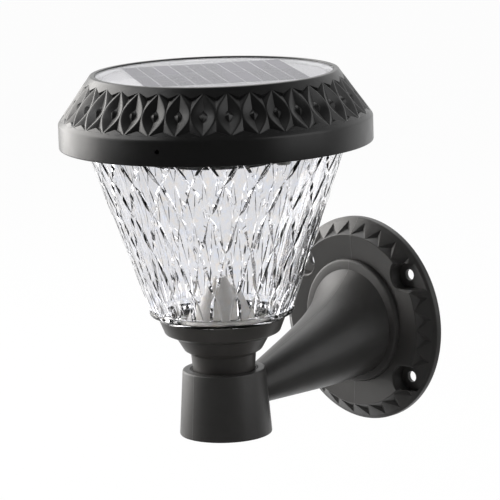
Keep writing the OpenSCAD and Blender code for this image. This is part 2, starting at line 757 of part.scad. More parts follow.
module led_chips() {
    color("#f2d98a") head_frame(lid_z + floor_lift - led_flange_t - board_t)
        for (i = [0:led_count - 1]) rotate([0, 0, (i + 0.5) * 360 / led_count])
            translate([led_place_r, 0, -led_size[2] / 2]) cube(led_size, center = true);
}

module led_screws() {
    color("#b8b8b8") head_frame(lid_z + floor_lift - led_flange_t - board_t)
        round_places(led_screw_place_r, led_screw_angles) rotate([180, 0, 0]) screw(small_screw, led_screw_l);
}

// Driver board and battery on top of the floor

module driver_board() {
    color("#2d6b3f") head_frame(lid_z + floor_top + driver_lift) difference() {
        translate([-driver_l / 2, driver_y - driver_w / 2, 0]) cube([driver_l, driver_w, board_t]);
        driver_places() translate([0, 0, -1]) cylinder(r = small_screw[2] + screw_gap, h = board_t + 2);
    }
}

module driver_parts() {
    color("#3a3a3a") head_frame(lid_z + floor_top + driver_lift + board_t) {
        translate([-driver_l / 6, driver_y + driver_w / 4, 0]) cylinder(r = can_size[0], h = can_size[1]);
        translate([driver_l * 0.23, driver_y + driver_w * 0.28, 0])
            cylinder(r = coil_size[0], h = coil_size[1]);
        translate([-chip_size[0] / 2, driver_y - driver_w * 0.22, 0]) cube(chip_size);
        translate([driver_l / 10, driver_y, 0]) cube(regulator_size);
        translate([-driver_l * 0.43, driver_y, 0]) cube(plug_size);
        translate([driver_l / 20, driver_y + driver_w * 0.31, 0]) cube(diode_size);
    }
}

module board_screws() {
    color("#b8b8b8") head_frame(lid_z + floor_top) {
        driver_places() translate([0, 0, board_top]) screw(small_screw, small_screw_l);
        switch_place() for (s = [-1, 1]) translate([switch_board_r, s * switch_post_y, switch_top])
            screw(tiny_screw, tiny_screw_l);
    }
}

module battery_tray() {
    half_l = battery_l / 2 + contact_l + contact_t;
    half_w = cell_r + loose_gap + tray_t;
    color("#2a2a2a") head_frame(lid_z + floor_top) translate([0, tray_y, 0]) {
        translate([-half_l - tray_t, -half_w, 0]) cube([2 * (half_l + tray_t), 2 * half_w, tray_t]);
        for (s = [-1, 1]) translate([-half_l, s * (half_w - tray_t / 2) - tray_t / 2, 0])
            cube([2 * half_l, tray_t, tray_wall_h]);
        for (s = [-1, 1]) translate([s * (half_l + tray_t / 2) - tray_t / 2, -half_w, 0])
            cube([tray_t, 2 * half_w, tray_end_h]);
    }
}

module battery_cell() {
    color("#3f6fa8") head_frame(lid_z + floor_top + tray_t + cell_r)
        translate([-battery_l / 2, tray_y, 0]) rotate([0, 90, 0]) {
            cylinder(r = cell_r, h = battery_l - 1.5);
            cylinder(r = 3, h = battery_l);
        }
}

module battery_contacts() {
    color("#c8c8c0") head_frame(lid_z + floor_top) for (s = [-1, 1])
        translate([s * battery_l / 2, tray_y, tray_t + cell_r]) scale([s, 1, 1]) {
            rotate([0, 90, 0]) cylinder(r = contact_pad_r, h = contact_l + eps);
            translate([contact_l, -contact_w / 2, -contact_drop])
                cube([contact_t, contact_w, tray_end_h - tray_t - cell_r + contact_drop]);
        }
}

// Switch above the button

module switch_board() {
    color("#2d6b3f") head_frame(lid_z + floor_top + switch_lift) switch_place() difference() {
        translate([switch_board_r - switch_board_size[0] / 2, -switch_board_size[1] / 2, 0])
            cube([switch_board_size[0], switch_board_size[1], board_t]);
        for (s = [-1, 1]) translate([switch_board_r, s * switch_post_y, -1])
            cylinder(r = tiny_screw[2] + screw_gap, h = board_t + 2);
    }
}

module tact_switch() {
    color("#8a8a86") head_frame(lid_z + floor_top + switch_lift) switch_place()
        translate([button_place_r, 0, 0]) {
            translate([-switch_size[0] / 2, -switch_size[1] / 2, -switch_size[2]]) cube(switch_size);
            translate([0, 0, -switch_size[2] - plunger_l]) cylinder(r = plunger_r, h = plunger_l + eps);
        }
}

// Mode button: hangs by its flange in the lid's floor and is pressed upwards
module mode_button() {
    color("#9a9a98") head_frame(lid_z) switch_place() translate([button_place_r, 0, 0]) {
        rotate_extrude() polygon([[0, -button_proud], [button_r - 0.6, -button_proud],
            [button_r, 0.6 - button_proud], [button_r, floor_top], [button_flange_r, floor_top],
            [button_flange_r, floor_top + button_flange_t], [button_stem_r, floor_top + button_flange_t],
            [button_stem_r, floor_top + button_flange_t + button_stem_l],
            [0, floor_top + button_flange_t + button_stem_l]]);
    }
}

// Solar panel in the lid's top

module panel_seal() {
    color("#101010") head_frame(lid_z + ledge_top) difference() {
        cylinder(r = panel_r + 0.2, h = 0.4);
        translate([0, 0, -1]) cylinder(r = ledge_inner_r + 0.5, h = 3);
    }
}

module solar_backing() {
    color("#d5d5da") head_frame(lid_z + ledge_top + 0.4) cylinder(r = panel_r, h = backing_t - 0.4);
}

module cell_places() {
    pitch = cell_row_l / cell_count;
    for (i = [0:cell_count - 1]) translate([0, (i + 0.5) * pitch - cell_row_l / 2, 0]) children();
}

module solar_cells() {
    strip_w = cell_row_l / cell_count - cell_gap;
    color("#a9a5ae") head_frame(lid_z + ledge_top + backing_t) cell_places()
        translate([-cell_l / 2, -strip_w / 2, 0]) cube([cell_l, strip_w, cells_t]);
}

module cell_ribbons() {
    color("#cfcfd4") head_frame(lid_z + ledge_top + backing_t + cells_t)
        translate([-ribbon_w / 2, -cell_row_l / 2, 0]) cube([ribbon_w, cell_row_l, ribbon_t]);
}

module panel_cover() {
    strip_w = cell_row_l / cell_count - cell_gap;
    color("#eef0f4", 0.3) head_frame(lid_z + ledge_top + backing_t) difference() {
        cylinder(r = panel_r, h = cover_t);
        translate([0, 0, -1]) {
            cell_places() translate([-cell_l / 2, -strip_w / 2, 0]) cube([cell_l, strip_w, 1 + cells_t]);
            translate([-ribbon_w / 2, -cell_row_l / 2, 0])
                cube([ribbon_w, cell_row_l, 1 + cells_t + ribbon_t]);
        }
    }
}

// Leads inside the lid, two to each pair of terminals

module panel_leads() {
    color("#a83232") head_frame(lid_z + floor_top) for (s = [0, 1])
        translate([-18 + s * lead_pitch, driver_y - 10, 0]) lead(panel_route);
}

module led_leads() {
    color("#a83232") head_frame(lid_z + floor_top) for (s = [-1, 1])
        translate([s * lead_pitch / 2, 0, 0]) lead(led_route);
}

module battery_leads() {
    color("#a83232") head_frame(lid_z + floor_top) {
        lead(battery_route);
        mirror([1, 0, 0]) lead(battery_route);
    }
}

module switch_leads() {
    color("#a83232") head_frame(lid_z + floor_top) for (s = [0, 1])
        translate([0, s * lead_pitch, 0]) lead(switch_route);
}

wall_bracket();
neck_seal();
base_cup();
base_gasket();
base_reflector();
base_screws();
lens();
lens_gasket();
lid_floor();
lid_shell();
lid_screws();
locking_screw();
led_reflector();
led_board();
led_chips();
led_screws();
driver_board();
driver_parts();
board_screws();
battery_tray();
battery_cell();
battery_contacts();
switch_board();
tact_switch();
mode_button();
panel_seal();
solar_backing();
solar_cells();
cell_ribbons();
panel_cover();
panel_leads();
battery_leads();
led_leads();
switch_leads();
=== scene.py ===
# Solar wall light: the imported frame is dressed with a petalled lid, a diamond-cut lens,
# a turned cup and a moulded wall bracket, all at the frame's own sizes.
import json
import math

import bpy
from mathutils import Matrix, Vector


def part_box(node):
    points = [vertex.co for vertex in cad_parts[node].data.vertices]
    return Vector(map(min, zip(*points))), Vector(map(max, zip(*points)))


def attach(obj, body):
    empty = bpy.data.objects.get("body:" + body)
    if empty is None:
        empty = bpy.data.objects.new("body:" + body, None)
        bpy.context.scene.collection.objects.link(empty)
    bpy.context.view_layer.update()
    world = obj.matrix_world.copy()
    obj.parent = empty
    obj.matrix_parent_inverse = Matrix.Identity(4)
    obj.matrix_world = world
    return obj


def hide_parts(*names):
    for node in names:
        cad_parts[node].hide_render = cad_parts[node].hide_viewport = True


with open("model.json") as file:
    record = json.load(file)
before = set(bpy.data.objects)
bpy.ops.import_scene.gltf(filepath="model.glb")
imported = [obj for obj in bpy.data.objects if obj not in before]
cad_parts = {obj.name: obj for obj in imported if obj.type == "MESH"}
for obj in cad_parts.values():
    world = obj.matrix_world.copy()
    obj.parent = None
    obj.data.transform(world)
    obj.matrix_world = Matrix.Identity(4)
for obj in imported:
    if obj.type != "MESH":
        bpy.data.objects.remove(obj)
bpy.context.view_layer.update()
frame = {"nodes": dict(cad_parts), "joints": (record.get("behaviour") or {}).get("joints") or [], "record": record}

MM = 0.001
TURN = 2 * math.pi
# The spin tool turns clockwise about its axis
spin_axis = (0, 0, -1)

# Places read from the frame, in metres
joints = {joint["name"]: joint for joint in frame["joints"]}
lamp_axis = Vector(joints["head_turn"]["pos_m"])
lid_low, lid_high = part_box("lid_shell")
lens_low, lens_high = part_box("lens")
cup_low, cup_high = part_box("base_cup")
bracket_low, bracket_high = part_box("wall_bracket")
cover_low, cover_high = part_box("panel_cover")
seal_top_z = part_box("neck_seal")[1].z
reach = -lamp_axis.y
lid_z = lid_low.z
lid_h = lid_high.z - lid_low.z
lid_r = (lid_high.x - lid_low.x) / 2
cup_top_z = cup_high.z
cup_r = (cup_high.x - cup_low.x) / 2
lens_h = lid_z - cup_top_z
plate_r = (bracket_high.x - bracket_low.x) / 2
panel_r = (cover_high.x - cover_low.x) / 2

# How far the head stands turned in its socket
head_angle = math.radians(-33.3)

# Camera, fitted to the rings and holes seen in the photograph
camera_azimuth = math.radians(45.9)
camera_elevation = math.radians(10.6)
camera_roll = math.radians(-1.86)
camera_shift_right = -16.3 * MM
camera_shift_up = 52.13 * MM
camera_distance = 1452.8 * MM
camera_lens = 216
camera_sensor = 36


# Working on a piece by hand

def deselect():
    bpy.ops.object.select_all(action="DESELECT")


def pick(piece):
    """Makes piece the one that the next operators act on."""
    if bpy.context.mode != "OBJECT":
        bpy.ops.object.mode_set(mode="OBJECT")
    deselect()
    piece.select_set(True)
    bpy.context.view_layer.objects.active = piece
    return piece


def edit(piece):
    """Opens a piece for editing with all of it selected."""
    pick(piece)
    bpy.ops.object.mode_set(mode="EDIT")
    bpy.ops.mesh.select_mode(type="VERT")
    bpy.ops.mesh.select_all(action="SELECT")


def done(piece):
    bpy.ops.object.mode_set(mode="OBJECT")
    return piece


def primitive(add, name, **settings):
    """A new primitive under its name, selected alone."""
    if bpy.context.mode != "OBJECT":
        bpy.ops.object.mode_set(mode="OBJECT")
    deselect()
    add(**settings)
    piece = bpy.context.object
    piece.name = piece.data.name = name
    return piece


def chain(name, points, closed=False):
    """An outline drawn from point to point: one vertex is extruded along it."""
    piece = primitive(bpy.ops.mesh.primitive_plane_add, name, size=MM)
    edit(piece)
    bpy.ops.mesh.merge(type="CENTER")
    bpy.ops.transform.translate(value=points[0])
    for start, end in zip(points, points[1:]):
        step = [b - a for a, b in zip(start, end)]
        bpy.ops.mesh.extrude_region_move(TRANSFORM_OT_translate={"value": step})
    if closed:
        bpy.ops.mesh.select_all(action="SELECT")
        done(piece)
        last = len(piece.data.vertices) - 1
        for vertex in piece.data.vertices:
            vertex.select = vertex.index in (0, last)
        bpy.ops.object.mode_set(mode="EDIT")
        bpy.ops.mesh.edge_face_add()
        bpy.ops.mesh.select_all(action="SELECT")
        bpy.ops.mesh.delete(type="ONLY_FACE")
    return done(piece)


def tidy(piece, gap=1e-6):
    """Merges doubles and turns all faces outwards."""
    edit(piece)
    bpy.ops.mesh.remove_doubles(threshold=gap)
    bpy.ops.mesh.select_all(action="SELECT")
    bpy.ops.mesh.normals_make_consistent(inside=False)
    done(piece)
    piece.data.validate()
    return piece


def smooth(piece, degrees=32):
    pick(piece)
    bpy.ops.object.shade_smooth_by_angle(angle=math.radians(degrees))
    return piece


def rounded(points, corners, segments=4):
    """An outline with some corners rounded: corners gives the radius at each point that has one."""
    out = []
    for index, point in enumerate(points):
        radius = corners.get(index, 0)
        if not radius:
            out.append(point)
            continue
        here = Vector(point)
        before = Vector(points[index - 1]) - here
        after = Vector(points[(index + 1) % len(points)]) - here
        cut = radius * min(1, 0.49 * min(before.length, after.length) / radius)
        first = here + before.normalized() * cut
        last = here + after.normalized() * cut
        for step in range(segments + 1):
            share = step / segments
            out.append(tuple((1 - share) ** 2 * first + 2 * share * (1 - share) * here + share ** 2 * last))
    return out


def lathe(name, outline, steps=192, closed=True, start=0.0):
    """Turns an outline of (radius, height) round the Z axis, from the angle start in degrees.
    Cutting tools start at odd angles, so that their edges don't fall on those of the piece."""
    across, along = math.cos(math.radians(start)), math.sin(math.radians(start))
    piece = chain(name, [(radius * across, radius * along, height) for radius, height in outline], closed)
    edit(piece)
    bpy.ops.mesh.spin(steps=steps, angle=TURN, center=(0, 0, 0), axis=spin_axis)
    done(piece)
    return tidy(piece)


def modifier(piece, kind, **settings):
    """Adds a modifier, sets it and applies it."""
    pick(piece)
    added = piece.modifiers.new(kind.lower(), kind)
    for key, value in settings.items():
        setattr(added, key, value)
    bpy.ops.object.modifier_apply(modifier=added.name)
    return piece


def combine(piece, tool, operation):
    """Boolean of piece with tool, which is used up."""
    modifier(piece, "BOOLEAN", operation=operation, object=tool, solver="EXACT")
    bpy.data.objects.remove(tool)
    return tidy(piece)


def join(piece, *others):
    pick(piece)
    for other in others:
        other.select_set(True)
    bpy.ops.object.join()
    return piece


def place(piece, matrix):
    """Moves a piece and keeps its place in its mesh."""
    pick(piece)
    piece.matrix_world = matrix
    bpy.ops.object.transform_apply(location=True, rotation=True, scale=True)
    return piece


def on_lamp(piece, z=0, angle=head_angle):
    return place(piece, Matrix.Translation((0, lamp_axis.y, z)) @ Matrix.Rotation(angle, 4, "Z"))


def off_wall(piece):
    """A piece turned about Z is laid so that its height points away from the wall."""
    return place(piece, Matrix.Rotation(math.pi / 2, 4, "X"))


# Lid with its band of leaves

petal_count = 36
rim_h = 12 * MM
lid_top_r = lid_r - 16.2 * MM
lid_wall = 2.2 * MM
cone_wall = 3.2 * MM
panel_step = lid_high.z - cover_high.z
ledge_r = lid_top_r - 6.5 * MM
ledge_t = 2 * MM
panel_bed = 1.6 * MM
recess_gap = 0.25 * MM
petal_low = rim_h + 1.8 * MM
petal_high = rim_h + 20.3 * MM
margin_below = 0.5 * MM
margin_above = MM
cone_angle = math.atan2(lid_r - lid_top_r, lid_h - rim_h)
leaf_slope = 0.42
ridge_round = 0.4 * MM
ridge_w = 0.8 * MM
end_slope = 2.0
end_point = 2.6 * MM
eye_half_w = 2.0 * MM
eye_half_h = 3.1 * MM
eye_slope = 0.6
eye_roundness = 1.5
smallest_eye = 0.05 * MM
leaf_share = 0.955
leaf_fullness = 1.15
lock_hole_r = 1.15 * MM
lock_hole_z = 7 * MM
lock_hole_depth = 8 * MM
lock_hole_angle = math.radians(-31.4)


def cone_r(z):
    return lid_r - (z - rim_h) * math.tan(cone_angle)


def leaf_half(share, pitch):
    """Half the width of a leaf at a share of its height."""
    return leaf_share * pitch / 2 * max(math.sin(math.pi * share), 0) ** leaf_fullness


def eye_half(share, height):
    """Half the width of the eye in the middle of a leaf."""
    reach_up = abs(share - 0.5) * height / eye_half_h
    return eye_half_w * max(1 - reach_up ** eye_roundness, 0)


def gap_crease(share, pitch, height):
    """Where the step at the end of a gap meets the wall that falls from the leaf's ridge."""
    rise = end_point / (pitch / 2)
    along = min(share, 1 - share) * height
    return (end_slope * along + leaf_slope * leaf_half(share, pitch)) / (leaf_slope + end_slope * rise)


def crease_end(pitch, height, top):
    """Share of the height at which that crease reaches the middle of the gap."""
    near, far = 0.0, 0.5
    for _ in range(30):
        middle = (near + far) / 2
        if gap_crease(1 - middle if top else middle, pitch, height) < pitch / 2:
            near = middle
        else:
            far = middle
    return 1 - near if top else near


def leaf_depth(x, share, pitch, height):
    """How deep the relief lies under the cone, x across from the leaf's middle."""
    half = leaf_half(share, pitch)
    side = math.hypot(abs(x) - half, ridge_round) - ridge_round
    depth = leaf_slope * side
    end = min(share, 1 - share) * height - end_point * abs(x) / (pitch / 2)
    if abs(x) > half:
        depth = min(depth, end_slope * max(end, 0))
    else:
        depth = min(depth, end_slope * min(share, 1 - share) * height)
    eye = eye_half(share, height)
    if abs(x) < eye:
        depth -= (leaf_slope + eye_slope) * (eye - abs(x))
    return depth


# Columns of one half leaf: the eye, the leaf beyond it, the ridge, the gap and the strip at its end
eye_columns = [0, 0.5, 1]
leaf_columns = [0.3, 0.6, 0.85, 1]
ridge_columns = [-0.5, -0.2, 0, 0.2, 0.5]
gap_columns = [0.5, 1]
end_columns = [0, 0.5, 1]
column_groups = [eye_columns, leaf_columns, ridge_columns, gap_columns, end_columns]
half_columns = sum(len(group) for group in column_groups) - 1
end_rows = 7
middle_rows = 26


def column_places(share, pitch, height):
    """How far each column of a half leaf lies from the leaf's middle."""
    eye = max(eye_half(share, height), smallest_eye)
    half = max(leaf_half(share, pitch), 3 * eye)
    inner = min(ridge_w, 0.4 * (half - eye))
    crease = min(max(gap_crease(share, pitch, height), half), pitch / 2)
    outer = min(ridge_w, 0.45 * (crease - half))
    start = half - inner
    finish = half + 0.5 * outer
    strip = min(max(min(share, 1 - share) * height / end_point * pitch / 2, crease), pitch / 2)
    places = [eye * part for part in eye_columns]
    places += [eye + (start - eye) * part for part in leaf_columns]
    places += [half + (inner if part < 0 else outer) * part for part in ridge_columns]
    places += [finish + (crease - finish) * part for part in gap_columns]
    places += [strip + (pitch / 2 - strip) * part for part in end_columns]
    return places


def row_shares():
    """Shares of the height of the rows, fine where the gaps end."""
    height = (petal_high - petal_low) / math.cos(cone_angle)
    spread = TURN / petal_count
    low = crease_end(spread * cone_r(petal_low), height, False)
    high = crease_end(spread * cone_r(petal_high), height, True)
    shares = [low * step / end_rows for step in range(end_rows)]
    shares += [low + (high - low) * step / middle_rows for step in range(middle_rows)]
    return shares + [high + (1 - high) * step / end_rows for step in range(end_rows + 1)]


def build_lid():
    """One sector with a leaf, spun round, with the small hole of the locking screw in the rim."""
    inner_crease = rim_h - MM
    ledge_top = lid_h - panel_step - (cover_high.z - cover_low.z) - panel_bed
    inner_top_r = cone_r(ledge_top) - cone_wall / math.cos(cone_angle)
    leaf_rows = [petal_low + (petal_high - petal_low) * share for share in row_shares()]
    plain_z = petal_low - margin_below
    outline = rounded([(lid_r - lid_wall, 0), (lid_r, 0), (lid_r, rim_h), (cone_r(plain_z), plain_z)],
                      {1: 0.6 * MM, 2: 0.7 * MM}, 5)
    outline += [(cone_r(z), z) for z in leaf_rows]
    recess_r = panel_r + recess_gap
    top_z = petal_high + margin_above
    outline += rounded([(cone_r(top_z), top_z), (lid_top_r, lid_h), (recess_r, lid_h),
                        (recess_r, ledge_top), (ledge_r, ledge_top), (ledge_r, ledge_top - ledge_t),
                        (inner_top_r, ledge_top - ledge_t)], {1: 0.5 * MM, 2: 0.25 * MM}, 3)
    outline.append((lid_r - lid_wall, inner_crease))
    sector = chain("lid_petal_shell", [(radius, 0, height) for radius, height in outline], closed=True)
    edit(sector)
    columns = 2 * half_columns
    bpy.ops.mesh.spin(steps=columns, angle=TURN / petal_count, center=(0, 0, 0), axis=spin_axis)
    done(sector)
    shape_leaves(sector, columns)
    edit(sector)
    bpy.ops.mesh.spin(steps=petal_count, dupli=True, angle=TURN, center=(0, 0, 0), axis=spin_axis)
    done(sector)
    lid = tidy(sector, 2e-6)
    hole = primitive(bpy.ops.mesh.primitive_cylinder_add, "hole", vertices=24, radius=lock_hole_r,
                     depth=lock_hole_depth, rotation=(0, math.pi / 2, 0), location=(lid_r, 0, lock_hole_z))
    place(hole, Matrix.Rotation(lock_hole_angle, 4, "Z") @ hole.matrix_world)
    combine(lid, hole, "DIFFERENCE")
    return on_lamp(smooth(lid, 24), lid_z)


def shape_leaves(sector, columns):
    """Sinks the leaves, their eyes and the gaps between them into one sector of the lid."""
    height = (petal_high - petal_low) / math.cos(cone_angle)
    spread = TURN / petal_count
    inward = Vector((math.cos(cone_angle), math.sin(cone_angle)))
    for vertex in sector.data.vertices:
        radius = math.hypot(vertex.co.x, vertex.co.y)
        z = vertex.co.z
        on_cone = abs(radius - cone_r(z)) < 1e-6
        share = (z - petal_low) / (petal_high - petal_low)
        if not on_cone or not 0 <= share <= 1.0001:
            continue
        angle = math.atan2(vertex.co.y, vertex.co.x)
        column = round(angle / spread * columns) - half_columns
        pitch = spread * radius
        if share in (0, 1):
            across = column / half_columns * pitch / 2
        else:
            across = math.copysign(column_places(share, pitch, height)[abs(column)], column)
        depth = leaf_depth(across, min(share, 1), pitch, height)
        turned = spread / 2 + across / radius
        lower = radius - depth * inward.x
        vertex.co = (lower * math.cos(turned), lower * math.sin(turned), z - depth * inward.y)


# Lens cut with diamonds

diamond_count = 24
lens_top_r = lid_r - 12.7 * MM
lens_foot_r = 35 * MM
lens_wall = 3.2 * MM
lens_foot_h = 4 * MM
lens_rows = [-0.11, 0, 0.135, 0.316, 0.541, 0.79, 1.06]
groove_depth = 0.9 * MM
sliver_w = 2.1 * MM
corner_w = 0.12 * MM
sliver_fullness = 0.8
groove_fullness = 0.7
usual_side = 22 * MM
side_steps = 6
top_ring_in = 0.4 * MM
top_ring_t = 0.5 * MM
foot_bulge = 0.5 * MM
foot_above = 0.6 * MM
foot_below = 1.6 * MM
foot_in = 0.2 * MM
spigot_r = 27.4 * MM
foot_bore_r = 25.2 * MM
foot_bore_h = 2.5 * MM
bore_flare = 0.4 * MM
cap_out = 10 * MM
trim_out = 4 * MM
past_end = 2 * MM


def lens_r(z):
    return lens_top_r + (lens_foot_r - lens_top_r) * (-z) / (lens_h - lens_foot_h)


def lens_node(row, step):
    """Corner of the diamonds: row counts down from the lid, step counts half diamonds round."""
    z = -lens_rows[row] * lens_h
    angle = math.pi * step / diamond_count
    return Vector((lens_r(z) * math.cos(angle), lens_r(z) * math.sin(angle), z))


def diamond_rim(corners):
    """Outline of a diamond's flat face: it keeps its corners and draws in between them."""
    middle = sum(corners, Vector()) / 4
    normal = (corners[2] - corners[0]).cross(corners[3] - corners[1]).normalized()
    rim = []
    for index, corner in enumerate(corners):
        following = corners[(index + 1) % 4]
        for step in range(side_steps):
            share = step / side_steps
            point = corner.lerp(following, share)
            inward = (middle - point).normalized()
            longness = (corner - following).length / usual_side
            draw = corner_w + sliver_w * math.sin(math.pi * share) ** sliver_fullness * longness
            point = point + inward * draw
            rim.append(point - normal * normal.dot(point - middle))
    return rim


def lens_faces():
    """Points and faces of the cut outside: flat diamonds and the slivers of the grooves between them."""
    points, faces, known = [], [], {}

    def number(key, point):
        if key not in known:
            known[key] = len(points)
            points.append(point)
        return known[key]

    last = len(lens_rows) - 1
    for row in range(last - 1):
        for place_round in range(diamond_count):
            step = 2 * place_round + (row + 1) % 2
            ring = [(row, step), (row + 1, step - 1), (row + 2, step), (row + 1, step + 1)]
            ring = [(level, half % (2 * diamond_count)) for level, half in ring]
            corners = [lens_node(level, half) for level, half in ring]
            rim = diamond_rim(corners)
            inner = [number((ring[0], "rim", index), point) for index, point in enumerate(rim)]
            faces.append(inner[::-1])
            for index in range(4):
                start, end = ring[index], ring[(index + 1) % 4]
                first, second = corners[index], corners[(index + 1) % 4]
                side = []
                for step_on in range(side_steps + 1):
                    share = step_on / side_steps
                    point = first.lerp(second, share)
                    outward = Vector((point.x, point.y, 0)).normalized()
                    point = point - outward * groove_depth * math.sin(math.pi * share) ** groove_fullness
                    from_low = step_on if start < end else side_steps - step_on
                    key = (min(start, end), max(start, end), from_low)
                    if step_on == 0:
                        key = start
                    if step_on == side_steps:
                        key = end
                    side.append(number(key, point))
                for step_on in range(side_steps):
                    near = inner[index * side_steps + step_on]
                    far = inner[(index * side_steps + step_on + 1) % len(inner)]
                    faces.append([side[step_on], near, far, side[step_on + 1]])
    edges = {(face[index - 1], face[index]) for face in faces for index in range(len(face))}
    caps = [len(points), len(points) + 1]
    points += [Vector((0, 0, cap_out)), Vector((0, 0, -lens_h - cap_out))]
    for start, end in sorted(edges):
        if (end, start) not in edges:
            faces.append([end, start, caps[points[start].z < -lens_h / 2]])
    return points, faces


def build_lens():
    """The cut body is trimmed by turned solids and hollowed."""
    points, faces = lens_faces()
    mesh = bpy.data.meshes.new("lens_cut")
    mesh.from_pydata([tuple(point) for point in points], [], faces)
    lens = bpy.data.objects.new("lens_cut", mesh)
    bpy.context.scene.collection.objects.link(lens)
    tidy(lens)
    top = lens_high.z - lid_z
    foot_z = -(lens_h - lens_foot_h)
    spigot_z = lens_low.z - lid_z
    side = lens_top_r + trim_out
    keep = lathe("keep", [(0, 0), (side, 0), (side, foot_z), (0, foot_z)], 60, False, 1.3)
    combine(lens, keep, "INTERSECT")
    ring_r = lens_top_r - top_ring_in
    ring = lathe("ring", [(0, top), (ring_r, top), (ring_r, -top_ring_t), (0, -top_ring_t)], 144, False, 2.2)
    combine(lens, ring, "UNION")
    bulge = lens_foot_r + foot_bulge
    outline = [(0, foot_z + foot_above), (bulge, foot_z + foot_above), (bulge, foot_z - foot_below),
               (cup_r - foot_in, -lens_h), (spigot_r, -lens_h), (spigot_r, spigot_z), (0, spigot_z)]
    foot = lathe("foot", rounded(outline, {1: 0.7 * MM, 2: 2 * MM}), 170, False, 0.7)
    combine(lens, foot, "UNION")
    bore_r = lens_top_r - lens_wall
    outline = [(0, spigot_z - MM), (foot_bore_r, spigot_z - MM), (foot_bore_r, -lens_h + foot_bore_h),
               (lens_foot_r - lens_wall, foot_z), (bore_r, -MM), (bore_r + bore_flare, top + past_end),
               (0, top + past_end)]
    inside = lathe("inside", outline, 180, False, 1.1)
    combine(lens, inside, "DIFFERENCE")
    lens.name = lens.data.name = "diamond_lens"
    return on_lamp(smooth(lens, 12), lid_z)


# Cup and neck

neck_r = 15.4 * MM
neck_top_r = 16 * MM
neck_bore_r = 13 * MM
neck_bore_top = 3.1 * MM
neck_foot_z = -7.3 * MM
neck_top_z = -0.5 * MM
waist_r = 19.1 * MM
waist_z = 1.5 * MM
bowl_r = 22.9 * MM
bowl_z = 8 * MM
bead_r = 23.4 * MM
bead_z = 8.1 * MM
brim_r = 28.3 * MM
brim_z = 10.3 * MM
cavity_r = 19.4 * MM
cavity_z = 6.1 * MM
well_r = 25.2 * MM
well_z = 11.1 * MM
spigot_seat_r = 27.6 * MM
seat_z = cup_top_z - 3 * MM
cup_post_r = 2.6 * MM
cup_post_place = 22 * MM
cup_post_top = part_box("base_reflector")[0].z
# The posts keep within the cup's wall
post_limit = [(0, 5 * MM), (20.6 * MM, 5 * MM), (22.3 * MM, 8.3 * MM), (27.7 * MM, 10.9 * MM),
              (27.7 * MM, 20 * MM), (0, 20 * MM)]


def build_cup():
    """Turned cup with its hollow neck, a floor between them and three posts for the reflector."""
    outline = [(0, neck_bore_top), (neck_bore_r, neck_bore_top), (neck_bore_r, cup_low.z),
               (neck_r, cup_low.z), (neck_r, neck_foot_z), (neck_top_r, neck_top_z), (waist_r, waist_z),
               (bowl_r, bowl_z), (bead_r, bead_z), (brim_r, brim_z), (cup_r, cup_top_z),
               (spigot_seat_r, cup_top_z), (spigot_seat_r, seat_z), (well_r, seat_z), (well_r, well_z),
               (cavity_r, cavity_z), (0, cavity_z)]
    corners = {3: 0.4 * MM, 5: 0.3 * MM, 6: 0.5 * MM, 7: 0.3 * MM, 9: 0.6 * MM, 10: 0.4 * MM}
    cup = lathe("turned_cup", rounded(outline, corners, 4), 160, False)
    height = cup_post_top - cavity_z + MM
    posts = []
    for index in range(3):
        post = primitive(bpy.ops.mesh.primitive_cylinder_add, "post", vertices=28, radius=cup_post_r,
                         depth=height, location=(cup_post_place, 0, cup_post_top - height / 2))
        posts.append(place(post, Matrix.Rotation(index * TURN / 3, 4, "Z") @ post.matrix_world))
    combine(join(*posts), lathe("limit", post_limit, 90, False, 1.3), "INTERSECT")
    combine(cup, posts[0], "UNION")
    return on_lamp(smooth(cup, 30))


# Wall bracket: plate, arm and socket

facet_count = 28
facet_columns = 8
facet_edge = 0.3 * MM
facet_margin = 0.2 * MM
pit_share = 0.38
facet_in_r = 44 * MM
facet_out_r = plate_r - 1.5 * MM
facet_depth = 1.9 * MM
rim_t = 3 * MM
facet_foot_h = 3.8 * MM
plate_h = 9.5 * MM
root_r = 32 * MM
root_h = 8.5 * MM
root_bead_h = 2.4 * MM
root_lean = 0.5 * MM
root_crown = 0.3 * MM
arm_overlap = 0.4 * MM
plate_rim_w = 3 * MM
hollow_ease = 0.5 * MM
shell_t = 2.8 * MM
pocket_r = 6.5 * MM
pocket_wall = 2 * MM
pocket_floor = 2 * MM
pocket_edge_z = 8.2 * MM
pocket_top_z = 12 * MM
pocket_reach = 30 * MM
pocket_flare = 0.9
limit_top_z = 14 * MM
cutter_h = 20 * MM
screw_x = 33.7 * MM
screw_z = 26.3 * MM
screw_hole_r = 2.8 * MM
arm_tip_r = 9.3 * MM
arm_gain = 14.5 * MM
arm_flare = 4.2 * MM
arm_drop = 30.4 * MM
arm_root_y = 10 * MM
arm_tip_y = reach - 21 * MM
arm_end_y = reach - 17 * MM
arm_root_r = arm_tip_r + arm_gain + arm_flare
arm_sides = 96
arm_steps = 40
root_sink = 2.5 * MM
hollow_start_y = 70 * MM
hollow_end_y = 10 * MM
hollow_steps = 24
hollow_straight = 11 * MM
mouth_z = seal_top_z + 0.2 * MM
socket_floor_t = 4 * MM
socket_foot_z = cup_low.z - socket_floor_t
socket_top_r = 20.4 * MM
socket_foot_r = 22.8 * MM
socket_bore_r = 15.48 * MM
mouth_recess_r = 16.7 * MM
mouth_depth = 2.5 * MM
drain_r = 12 * MM


def arm_share(y):
    return (arm_tip_y - y) / (arm_tip_y - arm_root_y)


def arm_r(y):
    return arm_tip_r + arm_gain * arm_share(y) + arm_flare * max(arm_share(y), 0) ** 6


def arm_mid_z(y):
    lift = arm_drop - arm_root_r
    return -arm_drop + lift * max(arm_share(y), 0) ** 6 + arm_r(y)


